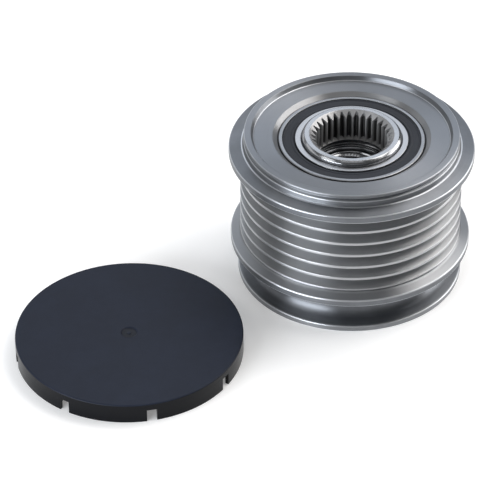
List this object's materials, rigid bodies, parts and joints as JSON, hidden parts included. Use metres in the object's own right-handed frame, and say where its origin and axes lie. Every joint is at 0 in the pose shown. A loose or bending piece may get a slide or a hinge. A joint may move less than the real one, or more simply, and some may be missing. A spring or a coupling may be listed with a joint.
{
  "type": "alternator pulley",
  "caption": "Overrunning belt pulley: a ribbed steel rim on two sealed ball bearings round a roller clutch and a threaded, toothed hub, with its plastic dust cap laid beside it.",
  "frame": {"origin": "centre of the hub's rear face, on the pulley's axis, at the mouth of the shaft thread", "axes": "+Z along the pulley's axis from the rear end that meets the alternator to the front end with the toothed socket; the loose dust cap lies towards -X and -Y"},
  "size_m": [0.1144, 0.094, 0.0408],
  "materials": {
    "turned_steel": "fine turned, satin, phosphated grey",
    "hub_steel": "ground and polished edges",
    "bearing_steel": "ground",
    "ball_steel": "polished",
    "spring_steel": "plain strip",
    "seal_rubber": "matt moulded",
    "cage_plastic": "glass-filled nylon",
    "cap_plastic": "fine spark-eroded texture"
  },
  "bodies": {
    "hub_side": {"hub": "hub_steel", "front_bearing_inner_ring": "bearing_steel", "rear_bearing_inner_ring": "bearing_steel", "clutch_ramp_ring": "bearing_steel", "clutch_cage": "cage_plastic", "clutch_roller_1": "ball_steel", "clutch_roller_2": "ball_steel", "clutch_roller_3": "ball_steel", "clutch_roller_4": "ball_steel", "clutch_roller_5": "ball_steel", "clutch_roller_6": "ball_steel", "clutch_roller_7": "ball_steel", "clutch_roller_8": "ball_steel", "clutch_spring_1": "spring_steel", "clutch_spring_2": "spring_steel", "clutch_spring_3": "spring_steel", "clutch_spring_4": "spring_steel", "clutch_spring_5": "spring_steel", "clutch_spring_6": "spring_steel", "clutch_spring_7": "spring_steel", "clutch_spring_8": "spring_steel", "dust_cap": "cap_plastic"},
    "rim_side": {"pulley_rim": "turned_steel", "front_bearing_outer_ring": "bearing_steel", "rear_bearing_outer_ring": "bearing_steel", "front_bearing_lower_seal": "seal_rubber", "front_bearing_upper_seal": "seal_rubber", "rear_bearing_lower_seal": "seal_rubber", "rear_bearing_upper_seal": "seal_rubber", "clutch_sleeve": "bearing_steel"},
    "front_balls": {"front_bearing_ball_cage": "cage_plastic", "front_bearing_ball_01": "ball_steel", "front_bearing_ball_02": "ball_steel", "front_bearing_ball_03": "ball_steel", "front_bearing_ball_04": "ball_steel", "front_bearing_ball_05": "ball_steel", "front_bearing_ball_06": "ball_steel", "front_bearing_ball_07": "ball_steel", "front_bearing_ball_08": "ball_steel", "front_bearing_ball_09": "ball_steel", "front_bearing_ball_10": "ball_steel", "front_bearing_ball_11": "ball_steel", "front_bearing_ball_12": "ball_steel"},
    "rear_balls": {"rear_bearing_ball_cage": "cage_plastic", "rear_bearing_ball_01": "ball_steel", "rear_bearing_ball_02": "ball_steel", "rear_bearing_ball_03": "ball_steel", "rear_bearing_ball_04": "ball_steel", "rear_bearing_ball_05": "ball_steel", "rear_bearing_ball_06": "ball_steel", "rear_bearing_ball_07": "ball_steel", "rear_bearing_ball_08": "ball_steel", "rear_bearing_ball_09": "ball_steel", "rear_bearing_ball_10": "ball_steel", "rear_bearing_ball_11": "ball_steel", "rear_bearing_ball_12": "ball_steel"}
  },
  "joints": [
    {"name": "rim_spin", "type": "hinge", "parent": "hub_side", "child": "rim_side", "pos_m": [0, 0, 0], "axis": [0, 0, 1], "continuous": true},
    {"name": "front_balls_spin", "type": "hinge", "parent": "hub_side", "child": "front_balls", "pos_m": [0, 0, 0.03553], "axis": [0, 0, 1], "continuous": true},
    {"name": "rear_balls_spin", "type": "hinge", "parent": "hub_side", "child": "rear_balls", "pos_m": [0, 0, 0.00448], "axis": [0, 0, 1], "continuous": true}
  ],
  "couplings": [
    {"joint": "front_balls_spin", "follows": "rim_spin", "ratio": 0.56403},
    {"joint": "rear_balls_spin", "follows": "rim_spin", "ratio": 0.56403}
  ]
}
